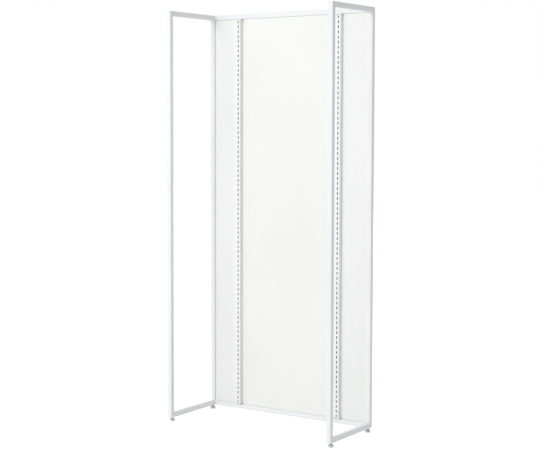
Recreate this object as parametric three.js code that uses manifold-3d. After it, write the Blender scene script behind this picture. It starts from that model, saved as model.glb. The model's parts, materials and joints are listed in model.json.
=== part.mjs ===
// A free-standing display wall, U-shaped in plan. Two open side frames of square steel tube stand
// forward of a panelled back. Two slotted uprights in front of the panel take shelf brackets, and
// four levelling feet carry the wall. Millimetres, +X to the right, +Y to the back, +Z up. The
// origin is on the floor, under the middle of the wall.

import * as THREE from 'three';
import { mergeVertices } from 'three/addons/utils/BufferGeometryUtils.js';
import Module from 'manifold-3d';

const wasm = await Module();
wasm.setup();

// Overall size
const wallWidth = 970;
const wallDepth = 410;
const wallHeight = 2100;
const frameUnderside = 20;

// Square tube of the frames
const tube = 25;
const tubeWall = 1.5;
const gap = 0.3;

// Back panel and the cross rails behind it
const panelRecess = 8;
const panelThickness = 5.5;
const panelEdgeGap = 0.5;
const crossRailHeight = 30;
const crossRailDepth = 10.9;
const crossRailWall = 1.5;
const crossRailHeights = { lower: 245, middle: 1060, upper: 1875 };

// Slotted uprights
const uprightSpacing = 600;
const uprightWidth = 25;
const uprightDepth = 20;
const uprightWall = 1.6;
const slotCount = 81;
const slotPitch = 25;
const slotLength = 15;
const slotWidth = 5;
const capThickness = 2;
const capPlugLength = 8;

// Corner brackets that join the back rails to the rear posts
const bracketLeg = 40;
const bracketWidth = 9.4;
const bracketThickness = 3;
const bracketScrewReach = 26;

// Pan-head screws and bolts, all of one thread
const screwShankRadius = 2.4;
const screwHoleRadius = 2.75;
const screwHeadRadius = 4.2;
const screwHeadHeight = 2.6;
const screwLength = 9;
const boltLength = 14;
const recessDepth = 1.4;
const recessSpan = 4.4;
const recessBladeWidth = 1.1;

// Levelling feet: a swivelling pad, a threaded stem with a hexagon collar, and a flanged insert
const footInset = 24;
const padRadius = 14;
const padHeight = 14;
const padTopRadius = 8.5;
const stemRadius = 4;
const stemRise = 22.5;
const ballRadius = 4;
const ballNeckRadius = 2.8;
const collarAcrossFlats = 13;
const insertFlangeRadius = 8.5;
const insertFlangeHeight = 0.8;
const insertBodyRadius = 5.7;
const insertBodyHeight = 10;

// Worked out from the sizes above
const frameHeight = wallHeight - frameUnderside;
const frameMiddle = frameUnderside + frameHeight / 2;
const halfWidth = wallWidth / 2;
const halfDepth = wallDepth / 2;
const innerHalfWidth = halfWidth - tube;
const railTop = frameUnderside + tube;
const railUnder = wallHeight - tube;
const panelFront = halfDepth - tube + panelRecess;
const panelBack = panelFront + panelThickness;
const uprightBack = panelFront - gap;
const crossRailFront = panelBack + gap;
const screwLineDepth = 5.2;
const screwLine = halfDepth - screwLineDepth;

const X = new THREE.Vector3(1, 0, 0);
const Y = new THREE.Vector3(0, 1, 0);
const Z = new THREE.Vector3(0, 0, 1);

const sides = { left: -1, right: 1 };
const ends = { front: -1, rear: 1 };

const wall = new THREE.Group();

function addPart(name, geometry, material) {
  const mesh = new THREE.Mesh(geometry, material);
  mesh.name = name;
  wall.add(mesh);
  return mesh;
}

// Materials

function paintedSteel() {
  return new THREE.MeshStandardMaterial({ color: '#ececf2', roughness: 0.45, metalness: 0 });
}

function uprightPaint() {
  return new THREE.MeshStandardMaterial({ color: '#f0f0f4', roughness: 0.4, metalness: 0 });
}

function panelBoard() {
  return new THREE.MeshStandardMaterial({ color: '#f1f0ec', roughness: 0.7, metalness: 0 });
}

function zincPlate() {
  return new THREE.MeshStandardMaterial({ color: '#b9bcc0', roughness: 0.35, metalness: 1 });
}

function padPlastic() {
  return new THREE.MeshStandardMaterial({ color: '#c9cacf', roughness: 0.5, metalness: 0 });
}

function capPlastic() {
  return new THREE.MeshStandardMaterial({ color: '#e8e8ec', roughness: 0.6, metalness: 0 });
}

// Solids: joining, cutting and placing

function toSolid(geometry) {
  const bare = geometry.clone();
  bare.deleteAttribute('normal');
  bare.deleteAttribute('uv');
  const welded = mergeVertices(bare);
  const corners = welded.index.array;
  const triVerts = [];
  for (let i = 0; i < corners.length; i += 3) {
    const [a, b, c] = corners.subarray(i, i + 3);
    if (a !== b && b !== c && c !== a) triVerts.push(a, b, c);
  }
  return new wasm.Manifold(new wasm.Mesh({
    numProp: 3,
    vertProperties: Float32Array.from(welded.attributes.position.array),
    triVerts: Uint32Array.from(triVerts),
  }));
}

function toGeometry(solid) {
  const { vertProperties, triVerts } = solid.getMesh();
  const geometry = new THREE.BufferGeometry();
  geometry.setAttribute('position', new THREE.BufferAttribute(vertProperties, 3));
  geometry.setIndex(new THREE.BufferAttribute(triVerts, 1));
  geometry.computeVertexNormals();
  return geometry;
}

function box(sizeX, sizeY, sizeZ, x = 0, y = 0, z = 0) {
  return toSolid(new THREE.BoxGeometry(sizeX, sizeY, sizeZ).translate(x, y, z));
}

// A round bar centred on a point, along the given axis
function rod(radius, length, axis, x = 0, y = 0, z = 0, facets = 12) {
  const geometry = new THREE.CylinderGeometry(radius, radius, length, facets);
  geometry.applyQuaternion(new THREE.Quaternion().setFromUnitVectors(Y, axis));
  return toSolid(geometry.translate(x, y, z));
}

// A solid of revolution about Z from [radius, height] pairs
function turned(profile, facets) {
  const points = profile.map(([radius, height]) => new THREE.Vector2(radius, height));
  return toSolid(new THREE.LatheGeometry(points, facets).rotateX(Math.PI / 2));
}

function cutAll(solid, cutters) {
  return cutters.reduce((rest, cutter) => rest.subtract(cutter), solid);
}

function flatShape(points) {
  return new THREE.Shape(points.map(([x, y]) => new THREE.Vector2(x, y)));
}

// Puts a piece's origin at a point, its x along one direction and its y along another
function place(mesh, origin, along, across) {
  const third = new THREE.Vector3().crossVectors(along, across);
  mesh.quaternion.setFromRotationMatrix(new THREE.Matrix4().makeBasis(along, across, third));
  mesh.position.copy(origin);
}

// Side frames: four tubes each, mitred at the corners and welded

// A tube along x with its long edge on y = 0 and its short edge towards +y
function mitredTube(length) {
  const end = gap / 2 * Math.SQRT2;
  const outline = flatShape([
    [end, 0],
    [length - end, 0],
    [length - tube - end, tube],
    [tube + end, tube],
  ]);
  const bar = new THREE.ExtrudeGeometry(outline, { depth: tube, bevelEnabled: false });
  const bore = tube - 2 * tubeWall;
  return toSolid(bar.translate(0, 0, -tube / 2))
    .subtract(box(length, bore, bore, length / 2, tube / 2, 0));
}

function makePosts() {
  for (const [side, signX] of Object.entries(sides)) {
    for (const [end, signY] of Object.entries(ends)) {
      const holes = end === 'rear' ? rearPostHoles(signX) : [];
      const post = cutAll(mitredTube(frameHeight), holes);
      const mesh = addPart(`${side}_${end}_post`, toGeometry(post), paintedSteel());
      const x = signX * (halfWidth - tube / 2);
      const origin = new THREE.Vector3(x, signY * halfDepth, frameUnderside);
      place(mesh, origin, Z, Y.clone().multiplyScalar(-signY));
    }
  }
}

// Screw holes in a rear post's inner wall, for the corner brackets and the cross rails
function rearPostHoles(signX) {
  const heights = [
    railTop + bracketScrewReach,
    railUnder - bracketScrewReach,
    ...Object.values(crossRailHeights),
  ];
  return heights.map((z) => (
    rod(screwHoleRadius, tube / 2, Z, z - frameUnderside, screwLineDepth, -signX * tube / 2)
  ));
}

function makeSideRails() {
  for (const [side, signX] of Object.entries(sides)) {
    const x = signX * (halfWidth - tube / 2);
    const top = addPart(`${side}_top_rail`, toGeometry(mitredTube(wallDepth)), paintedSteel());
    place(top, new THREE.Vector3(x, -halfDepth, wallHeight), Y, Z.clone().negate());
    const insertHoles = [footInset, wallDepth - footInset].map((y) => (
      rod(insertBodyRadius + gap, tube / 2, Y, y, 0, 0, 24)
    ));
    const bottomTube = cutAll(mitredTube(wallDepth), insertHoles);
    const bottom = addPart(`${side}_bottom_rail`, toGeometry(bottomTube), paintedSteel());
    place(bottom, new THREE.Vector3(x, -halfDepth, frameUnderside), Y, Z);
  }
}

// Back frame: a top and a bottom rail between the rear posts, held by corner brackets

function makeBackRails() {
  const length = 2 * (innerHalfWidth - gap);
  const bore = tube - 2 * tubeWall;
  const screwX = innerHalfWidth - bracketScrewReach;
  const rails = { top: [wallHeight - tube / 2, -1], bottom: [frameUnderside + tube / 2, 1] };
  for (const [level, [z, inward]] of Object.entries(rails)) {
    const holes = [-screwX, screwX].map((x) => (
      rod(screwHoleRadius, tube / 2, Z, x, tube / 2 - screwLineDepth, inward * tube / 2)
    ));
    const hollow = box(length, tube, tube).subtract(box(length + 2, bore, bore));
    const mesh = addPart(`back_${level}_rail`, toGeometry(cutAll(hollow, holes)), paintedSteel());
    mesh.position.set(0, halfDepth - tube / 2, z);
  }
}

// An L of flat bar: its corner at the origin, one leg along +x and one along +z
function cornerBracket() {
  const outline = flatShape([
    [0, 0],
    [bracketLeg, 0],
    [bracketLeg, bracketThickness],
    [bracketThickness, bracketThickness],
    [bracketThickness, bracketLeg],
    [0, bracketLeg],
  ]);
  const bar = new THREE.ExtrudeGeometry(outline, { depth: bracketWidth, bevelEnabled: false });
  bar.translate(0, 0, -bracketWidth / 2).rotateX(Math.PI / 2);
  return cutAll(toSolid(bar), [
    rod(screwHoleRadius, 3 * bracketThickness, Z, bracketScrewReach - gap),
    rod(screwHoleRadius, 3 * bracketThickness, X, 0, 0, bracketScrewReach - gap),
  ]);
}

function makeCornerBrackets() {
  const levels = { top: [railUnder, -1], bottom: [railTop, 1] };
  const quarter = Math.PI / 2;
  const turn = { top_left: quarter, top_right: 2 * quarter, bottom_left: 0, bottom_right: -quarter };
  const seat = gap + bracketThickness + gap;
  const screw = toGeometry(panScrew(screwLength));
  for (const [level, [railZ, signZ]] of Object.entries(levels)) {
    for (const [side, signX] of Object.entries(sides)) {
      const corner = `${level}_${side}`;
      const bracket = addPart(`${corner}_corner_bracket`, toGeometry(cornerBracket()), zincPlate());
      bracket.rotation.y = turn[corner];
      bracket.position.set(signX * (innerHalfWidth - gap), screwLine, railZ + signZ * gap);

      const railScrew = addPart(`${corner}_rail_screw`, screw.clone(), zincPlate());
      const screwX = signX * (innerHalfWidth - bracketScrewReach);
      const railFace = new THREE.Vector3(screwX, screwLine, railZ + signZ * seat);
      place(railScrew, railFace, ...headTowards(Z, signZ));

      const postScrew = addPart(`${corner}_post_screw`, screw.clone(), zincPlate());
      const screwZ = railZ + signZ * bracketScrewReach;
      const postFace = new THREE.Vector3(signX * (innerHalfWidth - seat), screwLine, screwZ);
      place(postScrew, postFace, ...headTowards(X, -signX));
    }
  }
}

// Screws: the origin is under the head, the head is on the +x side and the shank on the -x side

function panScrew(length) {
  const profile = [
    [0, -length],
    [screwShankRadius - 0.6, -length],
    [screwShankRadius, -length + 1],
    [screwShankRadius, 0],
    [screwHeadRadius, 0],
    [screwHeadRadius, screwHeadHeight * 0.45],
    [screwHeadRadius * 0.8, screwHeadHeight * 0.88],
    [screwHeadRadius * 0.4, screwHeadHeight],
    [0, screwHeadHeight],
  ];
  const points = profile.map(([radius, height]) => new THREE.Vector2(radius, height));
  const screw = toSolid(new THREE.LatheGeometry(points, 10).rotateZ(-Math.PI / 2));
  const recessX = screwHeadHeight - recessDepth / 2 + gap;
  const recessLength = recessDepth + 2 * gap;
  return cutAll(screw, [
    box(recessLength, recessSpan, recessBladeWidth, recessX),
    box(recessLength, recessBladeWidth, recessSpan, recessX),
  ]);
}

// Directions that point a screw's head along an axis
function headTowards(axis, sign) {
  const across = axis === Y ? Z : Y;
  return [axis.clone().multiplyScalar(sign), across];
}

// Cross rails: channels behind the panel, open to the back, with a folded tab at each end

function crossRail() {
  const length = 2 * (innerHalfWidth - gap);
  const hollowHeight = crossRailHeight - 2 * crossRailWall;
  const hollowLength = length - 2 * crossRailWall;
  const depthMiddle = crossRailDepth / 2;
  const channel = box(length, crossRailDepth, crossRailHeight, 0, depthMiddle, 0)
    .subtract(box(hollowLength, crossRailDepth, hollowHeight, 0, depthMiddle + crossRailWall, 0));
  const tabHoles = rod(screwHoleRadius, length + 2, X, 0, screwLine - crossRailFront, 0);
  const boltHoles = Object.values(sides).map((signX) => (
    rod(screwHoleRadius, 4 * crossRailWall, Y, signX * uprightSpacing / 2)
  ));
  return cutAll(channel, [tabHoles, ...boltHoles]);
}

function makeCrossRails() {
  const endScrew = toGeometry(panScrew(screwLength));
  for (const [level, z] of Object.entries(crossRailHeights)) {
    const rail = addPart(`${level}_cross_rail`, toGeometry(crossRail()), paintedSteel());
    rail.position.set(0, crossRailFront, z);
    for (const [side, signX] of Object.entries(sides)) {
      const screw = addPart(`${level}_cross_rail_${side}_screw`, endScrew.clone(), zincPlate());
      const seatX = signX * (innerHalfWidth - gap - crossRailWall - gap);
      place(screw, new THREE.Vector3(seatX, screwLine, z), ...headTowards(X, -signX));
    }
  }
}

// Back panel: one board, clamped between the uprights and the cross rails

function makeBackPanel() {
  const width = 2 * (innerHalfWidth - panelEdgeGap);
  const height = railUnder - railTop - 2 * panelEdgeGap;
  const holes = [];
  for (const signX of Object.values(sides)) {
    const x = signX * uprightSpacing / 2;
    for (const z of Object.values(crossRailHeights)) {
      holes.push(rod(screwHoleRadius, 2 * panelThickness, Y, x, 0, z - frameMiddle));
    }
  }
  const board = cutAll(box(width, panelThickness, height), holes);
  const mesh = addPart('back_panel', toGeometry(board), panelBoard());
  mesh.position.set(0, panelFront + panelThickness / 2, frameMiddle);
}

// Slotted uprights: rectangular tubes with a column of slots down the front wall

function slottedUpright() {
  const length = railUnder - railTop - 2 * (capThickness + 2 * gap);
  const boreWidth = uprightWidth - 2 * uprightWall;
  const boreDepth = uprightDepth - 2 * uprightWall;
  const hollow = box(uprightWidth, uprightDepth, length)
    .subtract(box(boreWidth, boreDepth, length + 2));
  const frontWall = -(uprightDepth - uprightWall) / 2;
  const slots = [];
  for (let i = 0; i < slotCount; i += 1) {
    const z = (i - (slotCount - 1) / 2) * slotPitch;
    slots.push(box(slotWidth, 2 * uprightWall, slotLength, 0, frontWall, z));
  }
  const boltHoles = Object.values(crossRailHeights).map((z) => (
    rod(screwHoleRadius, 4 * uprightWall, Y, 0, uprightDepth / 2, z - frameMiddle)
  ));
  return cutAll(hollow, [...slots, ...boltHoles]);
}

// A push-in plug for an upright's end, its flange on z = 0 and its plug below
function uprightCap() {
  const plugWidth = uprightWidth - 2 * (uprightWall + gap);
  const plugDepth = uprightDepth - 2 * (uprightWall + gap);
  const flange = box(uprightWidth, uprightDepth, capThickness, 0, 0, capThickness / 2);
  const plug = box(plugWidth, plugDepth, capPlugLength + 1, 0, 0, (1 - capPlugLength) / 2);
  const relief = box(plugWidth - 4, plugDepth - 4, capPlugLength, 0, 0, -capPlugLength / 2 - 1);
  return flange.add(plug).subtract(relief);
}

function makeUprights() {
  const upright = slottedUpright();
  const screw = toGeometry(panScrew(boltLength));
  const y = uprightBack - uprightDepth / 2;
  for (const [side, signX] of Object.entries(sides)) {
    const x = signX * uprightSpacing / 2;
    const post = addPart(`${side}_upright`, toGeometry(upright), uprightPaint());
    post.position.set(x, y, frameMiddle);

    const topCap = addPart(`${side}_upright_top_cap`, toGeometry(uprightCap()), capPlastic());
    topCap.position.set(x, y, railUnder - gap - capThickness);
    const bottomCap = addPart(`${side}_upright_bottom_cap`, toGeometry(uprightCap()), capPlastic());
    bottomCap.rotation.x = Math.PI;
    bottomCap.position.set(x, y, railTop + gap + capThickness);

    for (const [level, z] of Object.entries(crossRailHeights)) {
      const bolt = addPart(`${side}_upright_${level}_bolt`, screw.clone(), zincPlate());
      const seatY = crossRailFront + crossRailWall + gap;
      place(bolt, new THREE.Vector3(x, seatY, z), ...headTowards(Y, 1));
    }
  }
}

// Levelling feet

function footPad() {
  const socketRadius = ballRadius + gap;
  const socketFloor = padHeight - 2 * ballRadius;
  return turned([
    [0, 0],
    [padRadius - 1.4, 0],
    [padRadius, 1.4],
    [padRadius, padHeight - 6],
    [padRadius - 0.7, padHeight - 3],
    [padRadius - 2.7, padHeight - 0.8],
    [padTopRadius, padHeight],
    [socketRadius, padHeight],
    [socketRadius, socketFloor],
    [0, socketFloor],
  ], 24);
}

// The ball sits in the pad's socket and the hexagon collar stops against the insert's flange
function footStem() {
  const collarTop = frameUnderside - gap - insertFlangeHeight - gap;
  const collarUnder = padHeight + gap;
  const ballCentre = padHeight - ballRadius + gap;
  const stemTop = frameUnderside + stemRise;
  const shaft = turned([
    [0, ballCentre - ballRadius],
    [ballRadius * 0.7, ballCentre - ballRadius * 0.7],
    [ballRadius, ballCentre],
    [ballNeckRadius, ballCentre + ballRadius * 0.7],
    [ballNeckRadius, collarTop - 1],
    [stemRadius, collarTop - 1],
    [stemRadius, stemTop - 1],
    [stemRadius - 1, stemTop],
    [0, stemTop],
  ], 20);
  const collarRadius = collarAcrossFlats / Math.sqrt(3);
  const collarHeight = collarTop - collarUnder;
  return shaft.add(rod(collarRadius, collarHeight, Z, 0, 0, collarUnder + collarHeight / 2, 6));
}

function footInsert() {
  const boreRadius = stemRadius + gap;
  const flangeTop = frameUnderside - gap;
  const flangeUnder = flangeTop - insertFlangeHeight;
  const bodyTop = frameUnderside + insertBodyHeight;
  return turned([
    [boreRadius, flangeUnder],
    [insertFlangeRadius, flangeUnder],
    [insertFlangeRadius, flangeTop],
    [insertBodyRadius, flangeTop],
    [insertBodyRadius, bodyTop],
    [boreRadius, bodyTop],
    [boreRadius, flangeUnder],
  ], 20);
}

function makeFeet() {
  for (const [side, signX] of Object.entries(sides)) {
    for (const [end, signY] of Object.entries(ends)) {
      const foot = `${side}_${end}_foot`;
      const pieces = [
        addPart(`${foot}_pad`, toGeometry(footPad()), padPlastic()),
        addPart(`${foot}_stem`, toGeometry(footStem()), zincPlate()),
        addPart(`${foot}_insert`, toGeometry(footInsert()), zincPlate()),
      ];
      for (const piece of pieces) {
        piece.position.set(signX * (halfWidth - tube / 2), signY * (halfDepth - footInset), 0);
      }
    }
  }
}

makePosts();
makeSideRails();
makeBackRails();
makeCornerBrackets();
makeCrossRails();
makeBackPanel();
makeUprights();
makeFeet();

export default wall;
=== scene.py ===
# %% [markdown]
# # A display partition wall, one piece at a time
# The real object is a free-standing white wall for a shop or an exhibition. Two open side frames of
# square steel tube stand in front of a panelled back, two slotted uprights take shelf brackets, and
# four levelling feet carry the weight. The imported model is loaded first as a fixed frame. It says
# where every part goes, so nothing here has to be fitted by eye.

# %% Load the fixed frame
import json
import math
from contextlib import contextmanager

import bmesh
import bpy
from mathutils import Matrix, Vector


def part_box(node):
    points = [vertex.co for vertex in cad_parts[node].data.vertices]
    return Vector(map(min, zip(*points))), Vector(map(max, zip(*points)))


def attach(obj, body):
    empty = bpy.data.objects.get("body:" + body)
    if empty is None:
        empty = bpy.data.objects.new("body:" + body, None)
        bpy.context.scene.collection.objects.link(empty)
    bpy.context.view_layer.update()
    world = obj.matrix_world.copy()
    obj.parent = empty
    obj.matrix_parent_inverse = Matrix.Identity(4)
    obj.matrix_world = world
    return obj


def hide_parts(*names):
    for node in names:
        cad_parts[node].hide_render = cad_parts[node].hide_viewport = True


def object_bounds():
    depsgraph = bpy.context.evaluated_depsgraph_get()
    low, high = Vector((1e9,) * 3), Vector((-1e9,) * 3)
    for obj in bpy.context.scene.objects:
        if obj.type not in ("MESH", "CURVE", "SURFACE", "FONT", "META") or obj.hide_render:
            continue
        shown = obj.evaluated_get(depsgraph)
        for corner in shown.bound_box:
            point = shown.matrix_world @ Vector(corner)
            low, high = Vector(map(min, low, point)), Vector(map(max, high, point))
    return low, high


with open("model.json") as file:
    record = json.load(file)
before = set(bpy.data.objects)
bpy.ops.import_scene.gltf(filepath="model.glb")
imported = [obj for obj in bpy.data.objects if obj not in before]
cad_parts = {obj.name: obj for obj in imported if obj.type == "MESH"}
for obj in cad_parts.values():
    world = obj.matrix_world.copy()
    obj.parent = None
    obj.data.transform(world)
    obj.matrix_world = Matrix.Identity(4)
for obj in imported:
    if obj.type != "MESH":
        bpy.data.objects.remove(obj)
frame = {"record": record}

MM = 0.001
cad_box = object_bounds()
record = frame["record"]
body_of = {node: body for body, nodes in record["behaviour"]["bodies"].items() for node in nodes}

# %% [markdown]
# ## Camera
# A long lens far away keeps the tall posts nearly parallel, as a product shot does. The camera
# stands to the right, above the middle of the wall, and looks slightly down. The wall stands left
# of the middle of the picture. Turning the camera does most of that, and a small shift of the lens
# does the rest without making the posts lean.

# %% Camera
scene = bpy.context.scene
scene.view_settings.view_transform = "Standard"
bpy.ops.object.select_all(action="DESELECT")
looks_down, looks_left = math.radians(3.93), math.radians(34.76)
bpy.ops.object.camera_add(location=(3.521, -5.413, 1.544),
                          rotation=(math.pi / 2 - looks_down, 0, looks_left))
camera = bpy.context.object
camera.name = "studio_camera"
camera.data.lens = 86
camera.data.shift_x = 0.0741
camera.data.shift_y = -0.0278
scene.camera = camera
print("camera distance", round(camera.location.length, 2), "m")

# %% [markdown]
# ## Colours and nodes
# Colours are picked as sRGB hex values, but the renderer works in linear light, so one function
# turns them. One more helper adds a shader node, sets its values and plugs in its wires, which
# keeps each finish below short enough to read as a recipe.

# %% Colour and node helpers
def linear(hex_code):
    """An sRGB hex colour as a linear RGBA value."""
    channels = [int(hex_code[i:i + 2], 16) / 255 for i in (0, 2, 4)]
    light = [c / 12.92 if c <= 0.04045 else ((c + 0.055) / 1.055) ** 2.4 for c in channels]
    return (*light, 1)


def add_node(tree, kind, settings=None, links=None):
    """A new node. Settings are sockets or properties, and links are the wires that come in."""
    node = tree.nodes.new(kind)
    for key, value in (settings or {}).items():
        if isinstance(key, int) or key in node.inputs:
            node.inputs[key].default_value = value
        else:
            setattr(node, key, value)
    for key, source in (links or {}).items():
        tree.links.new(source, node.inputs[key])
    return node


print("mid grey 808080 is", round(linear("808080")[0], 3), "in linear light")

# %% [markdown]
# ## Studio light
# The wall stands in a white studio with light from everywhere, so its shadows are very soft. The
# world gives that light, and it falls off a little from left to right, so that the faces that look
# to the right come out greyest. The background that the camera sees is pure white, but it lights
# the wall less than it shows, or the white paint would lose all of its shape.

# %% World
world = bpy.data.worlds.new("white_studio")
scene.world = world
world.use_nodes = True
tree = world.node_tree
tree.nodes.clear()
light_left, light_right = 0.92, 0.6
rays = add_node(tree, "ShaderNodeLightPath")
towards = add_node(tree, "ShaderNodeSeparateXYZ", None,
                   {0: add_node(tree, "ShaderNodeTexCoord").outputs["Generated"]})
falloff = add_node(tree, "ShaderNodeMapRange",
                   {"From Min": -1.0, "From Max": 1.0, "To Min": light_left,
                    "To Max": light_right},
                   {"Value": towards.outputs["X"]})
surround = add_node(tree, "ShaderNodeBackground", {"Color": linear("FDFDFF")},
                    {"Strength": falloff.outputs[0]})
backdrop = add_node(tree, "ShaderNodeBackground", {"Color": (1, 1, 1, 1), "Strength": 1.0})
seen = add_node(tree, "ShaderNodeMixShader", None, {0: rays.outputs["Is Camera Ray"],
                                                    1: surround.outputs[0],
                                                    2: backdrop.outputs[0]})
add_node(tree, "ShaderNodeOutputWorld", None, {"Surface": seen.outputs[0]})
print("world light falls from", light_left, "on the left to", light_right, "on the right")

# %% [markdown]
# One large softbox in front and to the left makes the faces that look forwards brighter than those
# that look to the right. Without it, the square tubes would look like flat white strips. It is kept
# out of the reflections, or it would put one bright patch on the gloss of the panel.

# %% Softbox
def add_softbox(name, place, aim, size, power, colour):
    """A square area light at a place, facing a point."""
    turn = (Vector(aim) - Vector(place)).to_track_quat("-Z", "Y").to_euler()
    bpy.ops.object.light_add(type="AREA", location=place, rotation=turn)
    light = bpy.context.object
    light.name = name
    light.data.size = size
    light.data.energy = power
    light.data.color = linear(colour)[:3]
    return light


key_light = add_softbox("key_softbox", (-1.2, -5.5, 2.9), (0, 0, 1.3), 2.4, 138, "FDFDFD")
key_light.visible_glossy = False
print("key light", key_light.data.energy, "W")

# %% [markdown]
# The floor is a plain sheet of white studio paper. A little light of its own keeps it white up to
# the horizon, so that it runs into the backdrop. That light is only for the camera. Hidden from
# diffuse rays, the floor throws none of it back onto the wall.

# %% Floor
bpy.ops.mesh.primitive_plane_add(size=40)
floor = bpy.context.object
floor.name = "studio_floor"
paper = bpy.data.materials.new("matt_white_studio_paper")
paper.use_nodes = True
paper_shader = paper.node_tree.nodes["Principled BSDF"]
paper_shader.inputs["Base Color"].default_value = linear("F4F2ED")
paper_shader.inputs["Roughness"].default_value = 0.9
paper_shader.inputs["Emission Color"].default_value = (1, 1, 1, 1)
own_light = 0.56
paper_shader.inputs["Emission Strength"].default_value = own_light
floor.data.materials.append(paper)
floor.visible_diffuse = False
print("floor is", floor.dimensions.x, "m square, with light of its own at", own_light)

# %% [markdown]
# ## Finishes
# Each finish is named for the real material and how its surface was made. They all start the same
# way: a Principled shader with typical values, and Object coordinates, which are metres on this
# wall. A noise of scale 1000 / s has lumps about s millimetres apart.

# %% A blank finish
def new_finish(name, colour, roughness, metallic=0.0, ior=1.5):
    """A material with its shader set, and the coordinates that its patterns use."""
    finish = bpy.data.materials.new(name)
    finish.use_nodes = True
    tree = finish.node_tree
    shader = tree.nodes["Principled BSDF"]
    shader.inputs["Base Color"].default_value = linear(colour)
    shader.inputs["Roughness"].default_value = roughness
    shader.inputs["Metallic"].default_value = metallic
    shader.inputs["IOR"].default_value = ior
    place = add_node(tree, "ShaderNodeTexCoord").outputs["Object"]
    return finish, tree, shader, place


def lumps(spacing_mm):
    """The noise scale that puts lumps this many millimetres apart."""
    return 1000 / spacing_mm


print("2 mm grain needs a noise scale of", lumps(2))

# %% [markdown]
# ### Powder-coated steel tube
# The frames are cold-rolled steel tube, sprayed with white polyester powder and baked. To the eye
# that is an even satin white with soft highlights. The baked skin has a slight orange peel with
# waves 2 to 3 mm apart. That is too fine to show at this distance, so it is drawn 6 mm apart. Very
# wide, faint changes of tone and sheen stand for the coat being a little thicker in places.

# %% Powder coat of the frames
def powder_coat(name, pale, shade, roughness, peel_mm):
    """Baked white powder: orange peel in the bump, slow changes in tone and in sheen."""
    finish, tree, shader, place = new_finish(name, pale, roughness)
    coat = add_node(tree, "ShaderNodeTexNoise", {"Scale": lumps(260), "Detail": 2.0},
                    {"Vector": place})
    tone = add_node(tree, "ShaderNodeValToRGB", None, {"Fac": coat.outputs[0]})
    tone.color_ramp.elements[0].position = 0.35
    tone.color_ramp.elements[0].color = linear(shade)
    tone.color_ramp.elements[1].position = 0.6
    tone.color_ramp.elements[1].color = linear(pale)
    tree.links.new(tone.outputs["Color"], shader.inputs["Base Color"])

    sheen = add_node(tree, "ShaderNodeTexNoise", {"Scale": lumps(40), "Detail": 3.0},
                     {"Vector": place})
    gloss = add_node(tree, "ShaderNodeMapRange",
                     {"To Min": roughness - 0.05, "To Max": roughness + 0.05},
                     {"Value": sheen.outputs[0]})
    tree.links.new(gloss.outputs[0], shader.inputs["Roughness"])

    peel = add_node(tree, "ShaderNodeTexNoise", {"Scale": lumps(peel_mm), "Detail": 1.0},
                    {"Vector": place})
    bump = add_node(tree, "ShaderNodeBump", {"Strength": 0.25, "Distance": 0.06 * MM},
                    {"Height": peel.outputs[0]})
    tree.links.new(bump.outputs[0], shader.inputs["Normal"])
    return finish


frame_coat = powder_coat("satin_powder_coated_steel_tube", "EDEFF0", "E9EBED", 0.42, 6)
print("finish:", frame_coat.name)

# %% [markdown]
# ### Powder coat of the uprights
# The uprights come from a shelf maker, so their powder is another batch: a touch whiter and
# glossier, with a tighter peel. Inside, the powder doesn't reach, and what shows through the slots
# is plain mill-finish steel with faint drawing lines along the tube. Its grey is painted much
# darker than bare steel is. That darkness is painted shade, standing in for the shade inside the
# tube.

# %% Finishes of the uprights
upright_coat = powder_coat("gloss_powder_coated_shelf_upright", "F1F2F3", "EEEFF0", 0.34, 5)

# The dark grey here is painted shade: bare steel made darker to stand for the shade inside the
# tube.
painted_shade_bare_steel, tree, shader, place = new_finish("bare_steel_darkened_as_painted_shade", "4A4B4D", 0.6, metallic=1.0)
# Drawing lines are a few tenths of a millimetre apart; 2 mm is the finest that can show.
stretched = add_node(tree, "ShaderNodeMapping", {"Scale": (1, 1, 0.02)}, {"Vector": place})
lines = add_node(tree, "ShaderNodeTexNoise", {"Scale": lumps(2), "Detail": 2.0},
                 {"Vector": stretched.outputs[0]})
# The drawing lines vary the steel between two dark greys, which also carry the painted shade.
streak = add_node(tree, "ShaderNodeValToRGB", None, {"Fac": lines.outputs[0]})
streak.color_ramp.elements[0].color = linear("3A3B3D")
streak.color_ramp.elements[1].color = linear("58595B")
tree.links.new(streak.outputs["Color"], shader.inputs["Base Color"])
print("finishes:", upright_coat.name, "and", painted_shade_bare_steel.name)

# %% [markdown]
# ### Melamine-faced board
# The back is one thin board faced with white melamine paper, pressed hot against a fine-textured
# steel plate. It looks smooth, matt and slightly warmer than the paint beside it. The pressed pearl
# texture is about 0.5 mm apart, so it is drawn at 4 mm and kept shallow. A slow change of tone
# keeps so large a white area from looking like plain card.

# %% Finish of the panel
board_face, tree, shader, place = new_finish("melamine_faced_board", "EFF0EC", 0.5)
slow = add_node(tree, "ShaderNodeTexNoise", {"Scale": lumps(600), "Detail": 2.0}, {"Vector": place})
tone = add_node(tree, "ShaderNodeValToRGB", None, {"Fac": slow.outputs[0]})
tone.color_ramp.elements[0].position = 0.3
tone.color_ramp.elements[0].color = linear("EDEEE9")
tone.color_ramp.elements[1].position = 0.65
tone.color_ramp.elements[1].color = linear("F1F2EE")
tree.links.new(tone.outputs["Color"], shader.inputs["Base Color"])
pearl = add_node(tree, "ShaderNodeTexNoise", {"Scale": lumps(4), "Detail": 2.0}, {"Vector": place})
press = add_node(tree, "ShaderNodeBump", {"Strength": 0.2, "Distance": 0.04 * MM},
                 {"Height": pearl.outputs[0]})
tree.links.new(press.outputs[0], shader.inputs["Normal"])
rub = add_node(tree, "ShaderNodeTexNoise", {"Scale": lumps(90), "Detail": 3.0}, {"Vector": place})
matt = add_node(tree, "ShaderNodeMapRange", {"To Min": 0.45, "To Max": 0.55},
                {"Value": rub.outputs[0]})
tree.links.new(matt.outputs[0], shader.inputs["Roughness"])
print("finish:", board_face.name)

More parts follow.
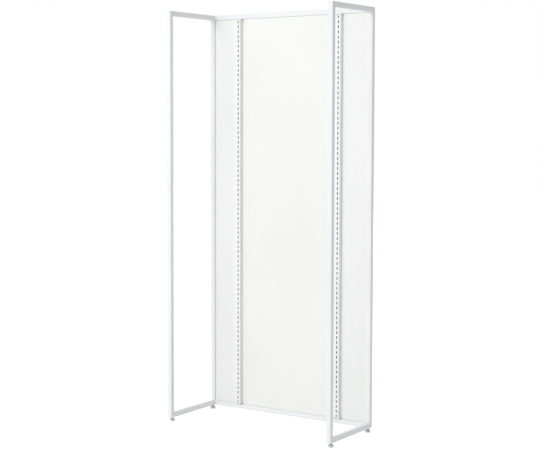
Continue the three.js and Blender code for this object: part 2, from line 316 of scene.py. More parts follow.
# %% [markdown]
# ### Bright zinc plate
# Screws, brackets, inserts and stems are mild steel with a thin bright zinc plate. It gives a cool
# grey metal with soft cloudy reflections, from the barrel that the small parts tumble in. The
# clouds are 3 to 5 mm across.

# %% Finish of the fixings
zinc, tree, shader, place = new_finish("bright_zinc_plated_steel", "B4B7BC", 0.3, metallic=1.0)
clouds = add_node(tree, "ShaderNodeTexNoise", {"Scale": lumps(4), "Detail": 3.0}, {"Vector": place})
tint = add_node(tree, "ShaderNodeValToRGB", None, {"Fac": clouds.outputs[0]})
tint.color_ramp.elements[0].color = linear("9DA1A8")
tint.color_ramp.elements[1].color = linear("C6C8CB")
tree.links.new(tint.outputs["Color"], shader.inputs["Base Color"])
dull = add_node(tree, "ShaderNodeMapRange", {"To Min": 0.22, "To Max": 0.42},
                {"Value": clouds.outputs[0]})
tree.links.new(dull.outputs[0], shader.inputs["Roughness"])
print("finish:", zinc.name)

# %% [markdown]
# ### Moulded plastics
# The foot pads are moulded from light grey polyamide in a polished tool, so they shine and show a
# small bright highlight. The caps in the uprights are white polypropylene from a spark-eroded tool,
# which leaves a fine matt grain. That grain is 0.1 mm apart and is drawn at 1.5 mm.

# %% Finishes of the plastics
def moulded_plastic(name, pale, shade, roughness, ior, grain_mm, depth_mm):
    """Moulded plastic: faint flow marks in the tone, tool grain in the bump."""
    finish, tree, shader, place = new_finish(name, pale, roughness, ior=ior)
    flow = add_node(tree, "ShaderNodeTexNoise",
                    {"Scale": lumps(12), "Detail": 2.0, "Distortion": 0.8}, {"Vector": place})
    tone = add_node(tree, "ShaderNodeValToRGB", None, {"Fac": flow.outputs[0]})
    tone.color_ramp.elements[0].color = linear(shade)
    tone.color_ramp.elements[1].color = linear(pale)
    tree.links.new(tone.outputs["Color"], shader.inputs["Base Color"])
    grain = add_node(tree, "ShaderNodeTexNoise", {"Scale": lumps(grain_mm)}, {"Vector": place})
    bump = add_node(tree, "ShaderNodeBump", {"Strength": 0.3, "Distance": depth_mm * MM},
                    {"Height": grain.outputs[0]})
    tree.links.new(bump.outputs[0], shader.inputs["Normal"])
    return finish


pad_plastic = moulded_plastic("polished_moulded_polyamide", "CFD0D5", "C6C7CD", 0.22, 1.53, 3, 0.02)
cap_plastic = moulded_plastic("spark_grained_polypropylene", "F0F0F1", "E9E9EB", 0.5, 1.49, 1.5,
                              0.03)
print("finishes:", pad_plastic.name, "and", cap_plastic.name)

# %% [markdown]
# ## Working by hand, in code
# An operator acts on whatever is selected, so every step starts by selecting just what it should
# change. These helpers do what a hand does: pick a piece, step into edit mode, choose corners,
# edges or faces by where they are, and put on a modifier and apply it.

# %% Hands-on helpers
def pick(*pieces):
    """Select only these pieces. The first one is the active one."""
    bpy.ops.object.select_all(action="DESELECT")
    for piece in pieces:
        piece.select_set(True)
    bpy.context.view_layer.objects.active = pieces[0]


@contextmanager
def editing(piece):
    """Edit mode on one piece, and back to object mode afterwards."""
    pick(piece)
    bpy.ops.object.mode_set(mode="EDIT")
    yield
    bpy.ops.object.mode_set(mode="OBJECT")


def choose(piece, kind, test):
    """In edit mode, select only the corners, edges or faces that pass a test."""
    bpy.ops.mesh.select_mode(type=kind)
    bpy.ops.mesh.select_all(action="DESELECT")
    mesh = bmesh.from_edit_mesh(piece.data)
    mesh.normal_update()
    parts = {"VERT": mesh.verts, "EDGE": mesh.edges, "FACE": mesh.faces}[kind]
    chosen = [part for part in parts if test(part)]
    for part in chosen:
        part.select_set(True)
    mesh.select_flush_mode()
    bmesh.update_edit_mesh(piece.data)
    return len(chosen)


def middle(edge):
    return (edge.verts[0].co + edge.verts[1].co) / 2


def runs_along(edge, axis):
    return abs((edge.verts[1].co - edge.verts[0].co).normalized()[axis]) > 0.999


def put_on(piece, kind, **settings):
    """Add a modifier, set it, and apply it at once."""
    pick(piece)
    bpy.ops.object.modifier_add(type=kind)
    modifier = piece.modifiers[-1]
    for name, value in settings.items():
        setattr(modifier, name, value)
    bpy.ops.object.modifier_apply(modifier=modifier.name)


def add_block(low, high):
    """A block between two corners, with its size and place in its mesh."""
    bpy.ops.object.select_all(action="DESELECT")
    bpy.ops.mesh.primitive_cube_add(size=1, location=(low + high) / 2)
    block = bpy.context.object
    block.scale = high - low
    bpy.ops.object.transform_apply(location=True, rotation=True, scale=True)
    return block


ALONG_X, ALONG_Y, ALONG_Z = range(3)
SIDES = ("left", "right")
LEVELS = ("lower", "middle", "upper")
print("helpers ready for the", " and ".join(SIDES), "side")

# %% [markdown]
# A finished piece gets its finish, rides on the body that its part belongs to, and stands in for
# that part. Many parts here repeat, so a piece is modelled once and copied, and each copy has its
# own mesh with its place inside it.

# %% Finishing and copying helpers
def dress(piece, *finishes, smooth_up_to=32):
    """Put finishes on a piece, and shade it smooth except across real corners."""
    if not piece.data.materials:
        for finish in finishes:
            piece.data.materials.append(finish)
    pick(piece)
    bpy.ops.object.shade_smooth_by_angle(angle=math.radians(smooth_up_to))


def stand_in(piece, node):
    """The piece stands for a part of the frame and moves with its body."""
    piece.name = piece.data.name = f"{node}_finished"
    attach(piece, body_of[node])
    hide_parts(node)
    return piece


def set_out(master, moves):
    """One copy of a master piece for each part, moved there. The master itself is put away."""
    made = []
    for node, move in moves.items():
        pick(master)
        bpy.ops.object.duplicate()
        twin = bpy.context.object
        twin.matrix_world = move
        bpy.ops.object.transform_apply(location=True, rotation=True, scale=True)
        made.append(stand_in(twin, node))
    bpy.data.objects.remove(master)
    return made


def shift(x=0, y=0, z=0):
    return Matrix.Translation((x, y, z))


def half_turn(axis, point):
    """Half a turn about an axis through a point, which swaps two opposite sides of the wall."""
    centre = Matrix.Translation(point)
    return centre @ Matrix.Rotation(math.pi, 4, axis) @ centre.inverted()


def open_edges(piece):
    """How many edges aren't shared by exactly two faces. A closed piece has none."""
    mesh = bmesh.new()
    mesh.from_mesh(piece.data)
    count = sum(not edge.is_manifold for edge in mesh.edges)
    mesh.free()
    return count


still = Matrix.Identity(4)
print("half a turn about Z takes X to", half_turn("Z", (0, 0, 0)) @ Vector((1, 0, 0)))

# %% [markdown]
# ## Side frames
# Each side frame is four lengths of 25 mm square tube, cut at 45 degrees, welded at the corners and
# ground flush. A tube starts as a block without ends. Its long edges are bevelled, because drawn
# tube has round corners, and Solidify gives it a 1.5 mm wall. A mitre is sawn with bisect, which
# leaves two loops, one inside the other, and a bridge between them closes the wall again.

# %% Square tube and saw
tube_wall = 1.5 * MM
tube_corner = 2.2 * MM
spare = 6 * MM


def square_tube(low, high, axis):
    """A length of square tube with round corners, open at both ends."""
    tube = add_block(low, high)
    with editing(tube):
        choose(tube, "FACE", lambda face: abs(face.normal[axis]) > 0.9)
        bpy.ops.mesh.delete(type="ONLY_FACE")
        choose(tube, "EDGE", lambda edge: runs_along(edge, axis))
        bpy.ops.mesh.bevel(offset=tube_corner, segments=4)
    put_on(tube, "SOLIDIFY", thickness=tube_wall, offset=-1, use_even_offset=True)
    return tube


def saw(piece, point, waste):
    """Saw a tube at a plane, drop the waste side, and close the cut wall."""
    with editing(piece):
        bpy.ops.mesh.select_mode(type="EDGE")
        bpy.ops.mesh.select_all(action="SELECT")
        bpy.ops.mesh.bisect(plane_co=point, plane_no=waste, clear_outer=True)
        bpy.ops.mesh.bridge_edge_loops()


low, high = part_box("left_front_post")
front_post = square_tube(low - Vector((0, 0, spare)), high + Vector((0, 0, spare)), ALONG_Z)
saw(front_post, low, (0, 1, -1))
saw(front_post, (low.x, low.y, high.z), (0, 1, 1))
print("front post:", len(front_post.data.polygons), "faces,", open_edges(front_post), "open edges")

# %% [markdown]
# The front post is the same on both sides. Half a turn about the middle of the wall gives the rear
# posts, but they also take screws, so they get their holes before they are set out.

# %% Set out the front posts
wall_low, wall_high = cad_box
wall_middle = (wall_low + wall_high) / 2
frame_middle_z = (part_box("back_bottom_rail")[0].z + wall_high.z) / 2
side_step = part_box("right_front_post")[0].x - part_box("left_front_post")[0].x
dress(front_post, frame_coat)
pick(front_post)
bpy.ops.object.duplicate()
rear_post = bpy.context.object
rear_post.matrix_world = half_turn("Z", (0, wall_middle.y, 0))
bpy.ops.object.transform_apply(location=True, rotation=True, scale=True)
set_out(front_post, {"left_front_post": still, "right_front_post": shift(x=side_step)})
print("right front post is", round(side_step, 3), "m from the left one")

# %% [markdown]
# ### Holes
# Holes are drilled with a Boolean. All the bits for one piece are joined, so that the tube is cut
# only once, and the bits go away afterwards. A rear post has five holes in the wall that faces the
# panel: two for the corner brackets and three for the cross rails.

# %% Drill and rear posts
bit_turn = {ALONG_X: (0, math.pi / 2, 0), ALONG_Y: (math.pi / 2, 0, 0), ALONG_Z: (0, 0, 0)}
screw_hole = 2.75 * MM
one_wall = 6 * MM    # a bit this long passes one wall of a tube and stays clear of the other


def drill(piece, places, axis, radius, depth):
    """Drill round holes, centred on places, along one axis."""
    bits = []
    for place in places:
        bpy.ops.mesh.primitive_cylinder_add(vertices=24, radius=radius, depth=depth,
                                            location=place, rotation=bit_turn[axis])
        bits.append(bpy.context.object)
    pick(*bits)
    if len(bits) > 1:
        bpy.ops.object.join()
    bit = bpy.context.object
    put_on(piece, "BOOLEAN", operation="DIFFERENCE", solver="EXACT", object=bit)
    bpy.data.objects.remove(bit)


def centre_of(node):
    low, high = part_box(node)
    return (low + high) / 2


screw_line = centre_of("bottom_right_post_screw").y
post_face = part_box("right_rear_post")[0].x
hole_nodes = ["bottom_right_post_screw", "top_right_post_screw"]
hole_nodes[1:1] = [f"{level}_cross_rail" for level in LEVELS]
hole_heights = [centre_of(node).z for node in hole_nodes]
drill(rear_post, [(post_face, screw_line, z) for z in hole_heights],
      ALONG_X, screw_hole, one_wall)
dress(rear_post, frame_coat)
print("rear post:", len(rear_post.data.polygons), "faces,", open_edges(rear_post), "open edges")
upside_down = half_turn("Y", (0, 0, frame_middle_z))
set_out(rear_post, {"right_rear_post": still, "left_rear_post": upside_down})

# %% [markdown]
# ### Side rails
# The top rail is sawn at the same two mitre planes, from the other side, so that rail and post
# close into a clean corner. Half a turn about the rail's own middle height makes the bottom rail,
# which also gets two 12 mm holes for the feet.

# %% Side rails
low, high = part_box("left_top_rail")
top_rail = square_tube(low - Vector((0, spare, 0)), high + Vector((0, spare, 0)), ALONG_Y)
saw(top_rail, (low.x, low.y, high.z), (0, -1, -1))
saw(top_rail, (low.x, high.y, high.z), (0, 1, -1))
dress(top_rail, frame_coat)
pick(top_rail)
bpy.ops.object.duplicate()
bottom_rail = bpy.context.object
bottom_rail.matrix_world = half_turn("Y", ((low.x + high.x) / 2, 0, frame_middle_z))
bpy.ops.object.transform_apply(location=True, rotation=True, scale=True)
set_out(top_rail, {"left_top_rail": still, "right_top_rail": shift(x=side_step)})

rail_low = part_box("left_bottom_rail")[0]
insert_hole = 6 * MM
feet = [centre_of(f"left_{end}_foot_insert") for end in ("front", "rear")]
drill(bottom_rail, [(foot.x, foot.y, rail_low.z) for foot in feet],
      ALONG_Z, insert_hole, one_wall)
dress(bottom_rail, frame_coat)
print("bottom rail:", len(bottom_rail.data.polygons), "faces,",
      open_edges(bottom_rail), "open edges")
set_out(bottom_rail, {"left_bottom_rail": still, "right_bottom_rail": shift(x=side_step)})

# %% [markdown]
# ## Back rails
# Between the rear posts, a straight tube closes the back at the top and at the bottom. Its ends are
# sawn square. Each has two holes for the screws of the corner brackets, on the side that faces the
# panel. The top one is the bottom one turned over.

# %% Back rails
low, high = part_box("back_bottom_rail")
back_rail = square_tube(low, high, ALONG_X)
bracket_screws = [centre_of(f"bottom_{side}_rail_screw") for side in SIDES]
drill(back_rail, [(screw.x, screw_line, high.z) for screw in bracket_screws],
      ALONG_Z, screw_hole, one_wall)
dress(back_rail, frame_coat)
print("back rail:", len(back_rail.data.polygons), "faces,", open_edges(back_rail), "open edges")
set_out(back_rail, {"back_bottom_rail": still, "back_top_rail": upside_down})

# %% [markdown]
# ## Back panel
# The panel is one board cut from a sheet. Its corners and edges are eased with a small bevel, as
# sandpaper does after the saw, which also catches a thin line of light where it meets the frame.
# Six holes let the bolts through into the uprights.

# %% Back panel
low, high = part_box("back_panel")
panel = add_block(low, high)
with editing(panel):
    bpy.ops.mesh.select_mode(type="EDGE")
    bpy.ops.mesh.select_all(action="SELECT")
    bpy.ops.mesh.bevel(offset=0.7 * MM, segments=3)
bolt_nodes = [f"{side}_upright_{level}_bolt" for side in SIDES for level in LEVELS]
bolts = [centre_of(node) for node in bolt_nodes]
left_bolt, right_bolt = bolts[0], bolts[-1]
drill(panel, [(bolt.x, (low.y + high.y) / 2, bolt.z) for bolt in bolts],
      ALONG_Y, screw_hole, 2 * one_wall)
dress(panel, board_face)
stand_in(panel, "back_panel")
print("panel:", [round(length, 4) for length in panel.dimensions], "m,",
      open_edges(panel), "open edges")

# %% [markdown]
# ## Cross rails
# Behind the panel, three folded steel channels run from post to post. The bolts pull the uprights
# against them, with the panel in between. A press brake folds the flanges and the end tabs from one
# sheet, so the bends are round. Here the block loses its back face, the remaining edges are
# bevelled as bends, and Solidify turns the skin into 1.5 mm sheet.

# %% Cross rails
low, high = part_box("lower_cross_rail")
cross_rail = add_block(low, high)
with editing(cross_rail):
    choose(cross_rail, "FACE", lambda face: face.normal.y > 0.9)
    bpy.ops.mesh.delete(type="ONLY_FACE")
    choose(cross_rail, "EDGE", lambda edge: middle(edge).y < high.y - MM)
    bpy.ops.mesh.bevel(offset=2.2 * MM, segments=3)
put_on(cross_rail, "SOLIDIFY", thickness=1.5 * MM, offset=-1, use_even_offset=True)
rail_z = (low.z + high.z) / 2
drill(cross_rail, [(low.x, screw_line, rail_z), (high.x, screw_line, rail_z)],
      ALONG_X, screw_hole, one_wall)
drill(cross_rail, [(left_bolt.x, low.y, rail_z), (right_bolt.x, low.y, rail_z)],
      ALONG_Y, screw_hole, one_wall)
dress(cross_rail, frame_coat)
print("cross rail:", len(cross_rail.data.polygons), "faces,",
      open_edges(cross_rail), "open edges")
set_out(cross_rail, {f"{level}_cross_rail": shift(z=centre_of(f"{level}_cross_rail").z - rail_z)
                     for level in LEVELS})

# %% [markdown]
# ## Corner brackets
# Where a back rail meets a rear post, an angle of 3 mm zinc-plated flat bar joins them inside the
# corner. Only the two outer faces of a block are kept, the fold between them is bevelled into a
# bend, and Solidify makes the flat bar. The ends of the legs are rounded, so they don't scratch.

# %% Corner brackets
low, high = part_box("bottom_left_corner_bracket")
bar = 3 * MM
bend_radius = 4.2 * MM
hair = 0.1 * MM    # how close an edge has to be to count as lying on a face
bracket = add_block(low, high)
with editing(bracket):
    choose(bracket, "FACE", lambda face: face.normal.x > -0.9 and face.normal.z > -0.9)
    bpy.ops.mesh.delete(type="FACE")
    choose(bracket, "EDGE", lambda edge: (middle(edge) - low).x < hair
           and (middle(edge) - low).z < hair)
    bpy.ops.mesh.bevel(offset=bend_radius, segments=5)
put_on(bracket, "SOLIDIFY", thickness=bar, offset=-1, use_even_offset=True)
with editing(bracket):
    choose(bracket, "EDGE", lambda edge: (
        runs_along(edge, ALONG_Z) and high.x - middle(edge).x < hair
        or runs_along(edge, ALONG_X) and high.z - middle(edge).z < hair))
    bpy.ops.mesh.bevel(offset=3 * MM, segments=4)
rail_screw = centre_of("bottom_left_rail_screw")
post_screw = centre_of("bottom_left_post_screw")
drill(bracket, [(rail_screw.x, screw_line, low.z + bar / 2)], ALONG_Z, screw_hole, 2 * bar)
drill(bracket, [(low.x + bar / 2, screw_line, post_screw.z)], ALONG_X, screw_hole, 2 * bar)
dress(bracket, zinc)
print("bracket:", len(bracket.data.polygons), "faces,", open_edges(bracket), "open edges")


def corner_move(node, quarter_turns, home=low):
    """Turn a bracket in its corner and carry it to another corner of the back."""
    there_low, there_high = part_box(node)
    corner = Vector((there_low.x if "left" in node else there_high.x, home.y,
                     there_low.z if "bottom" in node else there_high.z))
    turn = Matrix.Rotation(quarter_turns * math.pi / 2, 4, "Y")
    return Matrix.Translation(corner) @ turn @ Matrix.Translation(-home)


bracket_turns = {"bottom_left": 0, "top_left": 1, "top_right": 2, "bottom_right": -1}
set_out(bracket, {f"{corner}_corner_bracket": corner_move(f"{corner}_corner_bracket", turns)
                  for corner, turns in bracket_turns.items()})

# %% [markdown]
# ## Slotted uprights
# An upright is a 25 by 20 mm tube with 81 slots punched down its front, 25 mm apart, for shelf
# brackets. What repeats every 25 mm is one short length with one slot, so that is all that is
# modelled: the front face is inset and squeezed into a slot, the slot's corners are rounded, and
# the face is taken out. Array stacks 81 of them and merges the joints, and Solidify gives the
# whole skin its 1.6 mm wall, with the bare steel, painted dark as shade, on the inside.

# %% One length with one slot
upright_low, upright_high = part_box("left_upright")
pitch = 25 * MM
slot_count = 81
slot_width = 5 * MM
slot_height = 15 * MM
upright_corner = 1.8 * MM
upright_x = (upright_low.x + upright_high.x) / 2
first_low = frame_middle_z - slot_count * pitch / 2

length = add_block(Vector((upright_low.x, upright_low.y, first_low)),
                   Vector((upright_high.x, upright_high.y, first_low + pitch)))
with editing(length):
    choose(length, "FACE", lambda face: abs(face.normal.z) > 0.9)
    bpy.ops.mesh.delete(type="ONLY_FACE")
    choose(length, "EDGE", lambda edge: runs_along(edge, ALONG_Z))
    bpy.ops.mesh.bevel(offset=upright_corner, segments=3)
    choose(length, "FACE", lambda face: face.normal.y < -0.99)
    margin = (pitch - slot_height) / 2
    bpy.ops.mesh.inset(thickness=margin)
    inset_width = upright_high.x - upright_low.x - 2 * upright_corner - 2 * margin
    bpy.ops.transform.resize(value=(slot_width / inset_width, 1, 1),
                             center_override=(upright_x, upright_low.y, first_low + pitch / 2))
    choose(length, "VERT", lambda corner: abs(corner.co.x - upright_x) < slot_width)
    bpy.ops.mesh.bevel(offset=1 * MM, segments=3, affect="VERTICES")
    choose(length, "FACE", lambda face: face.normal.y < -0.99 and all(
        abs(corner.co.x - upright_x) < slot_width / 2 + 0.01 * MM for corner in face.verts)
        and face.calc_area() > slot_width * slot_height / 2)
    bpy.ops.mesh.delete(type="FACE")
print("one length:", len(length.data.polygons), "faces")

# %% [markdown]
# The end caps need a hair of room, so the two ends are moved in to the tube's own length after the
# lengths are stacked. The bolt holes in the back wall come last.

# %% Stack, wall and bolt holes
put_on(length, "ARRAY", count=slot_count, use_relative_offset=False, use_constant_offset=True,
       constant_offset_displace=(0, 0, pitch), use_merge_vertices=True, merge_threshold=0.01 * MM)
upright = length
with editing(upright):
    choose(upright, "VERT", lambda corner: corner.co.z < first_low + 0.05 * MM)
    bpy.ops.transform.translate(value=(0, 0, upright_low.z - first_low))
    choose(upright, "VERT", lambda corner: corner.co.z > upright_high.z)
    bpy.ops.transform.translate(value=(0, 0, first_low - upright_low.z))
# The second finish is the bare steel painted dark as shade inside the tube, and it goes on the
# inner wall.
for finish in (upright_coat, painted_shade_bare_steel):
    upright.data.materials.append(finish)
put_on(upright, "SOLIDIFY", thickness=1.6 * MM, offset=-1, use_even_offset=True, material_offset=1)
drill(upright, [(upright_x, upright_high.y, bolt.z) for bolt in bolts[:len(LEVELS)]],
      ALONG_Y, screw_hole, one_wall)
dress(upright)
print("upright:", len(upright.data.polygons), "faces,", open_edges(upright), "open edges")
upright_step = centre_of("right_upright").x - upright_x
set_out(upright, {"left_upright": still, "right_upright": shift(x=upright_step)})

# %% [markdown]
# ### Caps
# A moulded cap closes each end of an upright. It is a thin flange, as wide as the tube, with a
# hollow plug that grips inside. The plug is drawn out of the flange by inset and extrude, and its
# hollow is made the same way, back down into the plug.

# %% Upright caps
cap_low, cap_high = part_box("left_upright_bottom_cap")
flange_high = Vector((cap_high.x, cap_high.y, cap_low.z + 2 * MM))
cap = add_block(cap_low, flange_high)
with editing(cap):
    choose(cap, "EDGE", lambda edge: runs_along(edge, ALONG_Z))
    bpy.ops.mesh.bevel(offset=upright_corner, segments=3)
    choose(cap, "EDGE", lambda edge: middle(edge).z < cap_low.z + hair)
    bpy.ops.mesh.bevel(offset=0.5 * MM, segments=2)
    choose(cap, "FACE", lambda face: face.normal.z > 0.9)
    bpy.ops.mesh.inset(thickness=1.9 * MM)
    plug = cap_high.z - flange_high.z
    bpy.ops.mesh.extrude_region_move(TRANSFORM_OT_translate={"value": (0, 0, plug)})
    bpy.ops.mesh.inset(thickness=2 * MM)
    bpy.ops.mesh.extrude_region_move(TRANSFORM_OT_translate={"value": (0, 0, -plug)})
dress(cap, cap_plastic)
print("cap:", len(cap.data.polygons), "faces,", open_edges(cap), "open edges")
over = half_turn("Y", (upright_x, 0, frame_middle_z))
set_out(cap, {"left_upright_bottom_cap": still,
              "right_upright_bottom_cap": shift(x=upright_step),
              "left_upright_top_cap": over,
              "right_upright_top_cap": shift(x=upright_step) @ over})

# %% [markdown]
# ## Turned parts
# Heads, pads and inserts are round, so they are turned as on a lathe: half of the section is drawn
# from point to point with extrude, and spin sweeps it once round. Spin leaves a double seam and may
# turn the skin inside out, so doubles are merged and the normals are worked out again.

# %% Lathe
def draw_line(place, points):
    """A string of edges through (radius, height) points, drawn from one corner by extrude."""
    bpy.ops.object.select_all(action="DESELECT")
    bpy.ops.mesh.primitive_plane_add(size=MM, location=place)
    line = bpy.context.object
    with editing(line):
        bpy.ops.mesh.select_mode(type="VERT")
        bpy.ops.mesh.select_all(action="SELECT")
        bpy.ops.mesh.merge(type="CENTER")
        bpy.ops.transform.translate(value=(points[0][0], 0, points[0][1]))
        for (r0, z0), (r1, z1) in zip(points, points[1:]):
            bpy.ops.mesh.extrude_region_move(
                TRANSFORM_OT_translate={"value": (r1 - r0, 0, z1 - z0)})
    return line


def clean_up(piece):
    """Merge doubles and turn the skin the right way out."""
    with editing(piece):
        bpy.ops.mesh.select_all(action="SELECT")
        bpy.ops.mesh.remove_doubles(threshold=0.005 * MM)
        bpy.ops.mesh.normals_make_consistent(inside=False)


def turn_on_lathe(place, points, steps):
    """A round piece about a vertical axis through a place, with its place in its mesh."""
    piece = draw_line(place, points)
    with editing(piece):
        bpy.ops.mesh.select_all(action="SELECT")
        bpy.ops.mesh.spin(steps=steps, angle=2 * math.pi, center=place, axis=(0, 0, 1))
    clean_up(piece)
    pick(piece)
    bpy.ops.object.transform_apply(location=True, rotation=True, scale=True)
    return piece


def arc(centre, radii, start, stop, count):
    """Points along part of an ellipse, with angles in degrees from the horizontal."""
    angles = [math.radians(start + (stop - start) * i / count) for i in range(count + 1)]
    return [(centre[0] + radii[0] * math.cos(a), centre[1] + radii[1] * math.sin(a))
            for a in angles]


def scaled(points):
    return [(radius * MM, height * MM) for radius, height in points]


def weld(piece, other):
    """Join two closed pieces into one skin."""
    put_on(piece, "BOOLEAN", operation="UNION", solver="EXACT", object=other)
    bpy.data.objects.remove(other)


print("a quarter arc in 3 steps has", len(arc((0, 0), (1, 1), 0, 90, 3)), "points")

# %% [markdown]
# ### Threads
# A thread is one V, a pitch high, swept up a helix. The Screw modifier does that about the object's
# own axis, so the piece keeps its origin on the axis until the modifier is applied. A turn and a
# half too many is made at each end and sawn off, and the saw cut is filled to close the rod.
# Bisect snaps to corners within 0.1 mm unless it is given a finer threshold, and on a thread this
# fine that would tear the cut.

# %% Thread cutting
run_in = 1.53    # turns below the rod's end; not a round number, so the saw misses the corners
exact = 0.0001 * MM


def threaded_rod(place, core, crest, pitch, bottom, top, steps):
    """A rod with a real helical thread, from height bottom to height top above a place."""
    v_shape = [(core, 0), (crest, 0.42 * pitch), (crest, 0.58 * pitch), (core, pitch)]
    start = bottom - run_in * pitch
    turns = math.ceil((top - bottom) / pitch) + 3
    rod = draw_line(place, [(radius, start + height) for radius, height in v_shape])
    put_on(rod, "SCREW", axis="Z", angle=2 * math.pi, screw_offset=pitch, iterations=turns,
           steps=steps, render_steps=steps)
    pick(rod)
    bpy.ops.object.transform_apply(location=True, rotation=True, scale=True)
    clean_up(rod)
    for height, waste in ((bottom, -1), (top, 1)):
        with editing(rod):
            bpy.ops.mesh.select_all(action="SELECT")
            bpy.ops.mesh.bisect(plane_co=Vector(place) + Vector((0, 0, height)),
                                plane_no=(0, 0, waste), use_fill=True, clear_outer=True,
                                threshold=exact)
    clean_up(rod)
    return rod


print("an M8 thread has a pitch of 1.25 mm, and an M5 thread 0.8 mm")

# %% [markdown]
# ## Screws and bolts
# The fixings are M5 pan heads with a cross recess, zinc-plated. The head is turned, the thread is
# welded on under it, and the recess is punched with a cross-shaped tool: a small block with its
# four sides drawn outwards. There are twenty of them, so each keeps to a few hundred faces.

# %% One screw
head_height = 2.6 * MM
m5_core, m5_crest, m5_pitch = 1.95 * MM, 2.4 * MM, 0.8 * MM
overlap = 0.4 * MM    # how far the rod reaches into the head, so that they weld


def pan_screw(place, length):
    """A pan-head screw, head upwards, with the underside of its head at a place."""
    dome = arc((1.9, 1.1), (2.3, 1.5), 0, 78, 5)
    head = turn_on_lathe(place, scaled([(0, 0), (3.9, 0), (4.2, 0.3), *dome, (0, 2.6)]), 24)
    weld(head, threaded_rod(place, m5_core, m5_crest, m5_pitch, -length, overlap, 12))

    top = Vector(place) + Vector((0, 0, head_height))
    half = Vector((0.55, 0.55, 1.4)) * MM
    punch = add_block(top - half, top + half)
    with editing(punch):
        choose(punch, "FACE", lambda face: abs(face.normal.z) < 0.1)
        bpy.ops.mesh.extrude_faces_move(
            TRANSFORM_OT_shrink_fatten={"value": 1.65 * MM})
        choose(punch, "VERT", lambda corner: corner.co.z < top.z)
        bpy.ops.transform.resize(value=(0.7, 0.7, 1), center_override=top)
    put_on(head, "BOOLEAN", operation="DIFFERENCE", solver="EXACT", object=punch)
    bpy.data.objects.remove(punch)
    dress(head, zinc)
    return head


bpy.context.view_layer.update()
screw_low, screw_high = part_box("bottom_left_rail_screw")
screw_home = Vector((rail_screw.x, screw_line, screw_high.z - head_height))
screw = pan_screw(screw_home, screw_home.z - screw_low.z)
print("screw:", len(screw.data.polygons), "faces,", open_edges(screw), "open edges")

# %% [markdown]
# A copy is turned so that its head points the way it is driven from: up or down on the back rails,
# and towards the middle of the wall on the posts. The bolts of the uprights are the same, 14 mm
# long, with their heads to the back.

# %% Set out the screws
HEAD_TO = {"+x": (math.pi / 2, "Y"), "-x": (-math.pi / 2, "Y"), "+y": (-math.pi / 2, "X"),
           "+z": (0, "X"), "-z": (math.pi, "X")}


def screw_move(node, heading, home):
    """Carry a screw from home to its part, head turned towards a heading."""
    low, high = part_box(node)
    middle_point = (low + high) / 2
    axis = "xyz".index(heading[1])
    seat = middle_point.copy()
    seat[axis] = high[axis] - head_height if heading[0] == "+" else low[axis] + head_height
    angle, about = HEAD_TO[heading]
    turn = Matrix.Rotation(angle, 4, about)
    return Matrix.Translation(seat) @ turn @ Matrix.Translation(-home)


headings = {}
for side, inward in zip(SIDES, ("+x", "-x")):
    headings[f"bottom_{side}_rail_screw"] = "+z"
    headings[f"top_{side}_rail_screw"] = "-z"
    headings[f"bottom_{side}_post_screw"] = inward
    headings[f"top_{side}_post_screw"] = inward
    for level in LEVELS:
        headings[f"{level}_cross_rail_{side}_screw"] = inward
set_out(screw, {node: screw_move(node, way, screw_home) for node, way in headings.items()})

bolt_low, bolt_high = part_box("left_upright_lower_bolt")
bolt_length = bolt_high.y - bolt_low.y - head_height
bolt = pan_screw(screw_home, bolt_length)
set_out(bolt, {node: screw_move(node, "+y", screw_home) for node in bolt_nodes})
print(len(headings), "screws and", len(bolt_nodes), "bolts, bolt length",
      round(bolt_length / MM, 1), "mm")

# %% [markdown]
# ## Levelling feet
# Each foot is three parts. A moulded pad stands on the floor and takes the ball of the stem in a
# socket, so that it finds its own level. Its round shoulder is drawn as part of an ellipse. A
# shallow hollow underneath leaves a ring to stand on, which rocks less on an uneven floor.

# %% Foot pads
foot = centre_of("left_front_foot_pad")
foot_place = Vector((foot.x, foot.y, 0))
pad_points = [(0, 0.8), (10.0, 0.8), (10.6, 0.0)]
pad_points += arc((12.6, 1.4), (1.4, 1.4), -90, 0, 4)
pad_points += arc((8.5, 8.0), (5.5, 6.0), 0, 90, 8)
pad_points += [(4.6, 14.0), (4.3, 13.7)]
pad_points += arc((0, 10.3), (4.3, 4.3), 0, -90, 6)
pad = turn_on_lathe(foot_place, scaled(pad_points), 48)
dress(pad, pad_plastic)
print("pad:", len(pad.data.polygons), "faces,", open_edges(pad), "open edges")

across = centre_of("right_front_foot_pad").x - foot.x
deep = centre_of("left_rear_foot_pad").y - foot.y
foot_moves = {"left_front": still, "right_front": shift(x=across),
              "left_rear": shift(y=deep), "right_rear": shift(x=across, y=deep)}
set_out(pad, {f"{corner}_foot_pad": move for corner, move in foot_moves.items()})

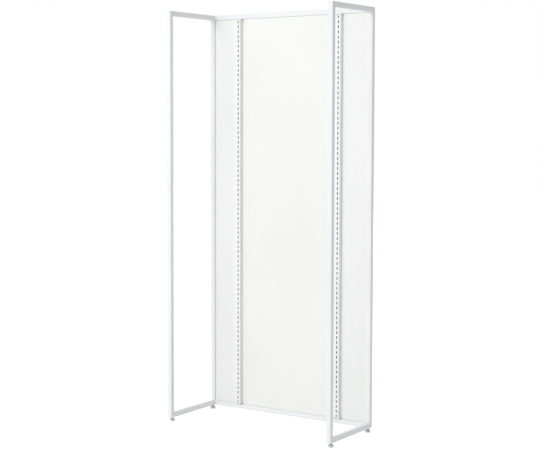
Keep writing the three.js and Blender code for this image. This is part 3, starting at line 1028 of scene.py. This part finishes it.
# %% [markdown]
# The stem is one steel part: a ball and neck at the bottom, a hexagon collar for the spanner, and
# an M8 thread that screws up into the rail. The collar starts as a six-sided cylinder and gets
# chamfers all round. Then all three are welded into one skin.

# %% Foot stems
stem_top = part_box("left_front_foot_stem")[1].z
m8_core, m8_crest, m8_pitch = 3.4 * MM, 4.0 * MM, 1.25 * MM
across_flats = 13 * MM
ball = arc((0, 10.3), (4, 4), -90, 44, 10)
neck = turn_on_lathe(foot_place, scaled([*ball, (2.8, 13.4), (2.8, 14.8), (0, 14.8)]), 32)

collar_low, collar_high = 14.3 * MM, 18.6 * MM
bpy.ops.mesh.primitive_cylinder_add(
    vertices=6, radius=across_flats / math.sqrt(3), depth=collar_high - collar_low,
    location=foot_place + Vector((0, 0, (collar_low + collar_high) / 2)))
stem = bpy.context.object
bpy.ops.object.transform_apply(location=True, rotation=True, scale=True)
with editing(stem):
    choose(stem, "EDGE", lambda edge: not runs_along(edge, ALONG_Z))
    bpy.ops.mesh.bevel(offset=0.6 * MM, segments=2)
    choose(stem, "EDGE", lambda edge: runs_along(edge, ALONG_Z))
    bpy.ops.mesh.bevel(offset=0.3 * MM, segments=2)
weld(stem, neck)
weld(stem, threaded_rod(foot_place, m8_core, m8_crest, m8_pitch, collar_high - 0.3 * MM,
                        stem_top, 24))
dress(stem, zinc)
print("stem:", len(stem.data.polygons), "faces,", open_edges(stem), "open edges")
set_out(stem, {f"{corner}_foot_stem": move for corner, move in foot_moves.items()})

# %% [markdown]
# The insert is a flanged sleeve, pressed up into the bottom rail. Its section is a closed line that
# never touches the axis, so spinning it gives a ring.

# %% Foot inserts
insert_points = [(4.3, 19.1), (4.5, 18.9), (8.2, 18.9), (8.5, 19.2), (8.5, 19.7), (5.7, 19.7),
                 (5.7, 29.6), (5.3, 30.0), (4.3, 30.0), (4.3, 19.1)]
insert = turn_on_lathe(foot_place, scaled(insert_points), 32)
dress(insert, zinc)
print("insert:", len(insert.data.polygons), "faces,", open_edges(insert), "open edges")
set_out(insert, {f"{corner}_foot_insert": move for corner, move in foot_moves.items()})
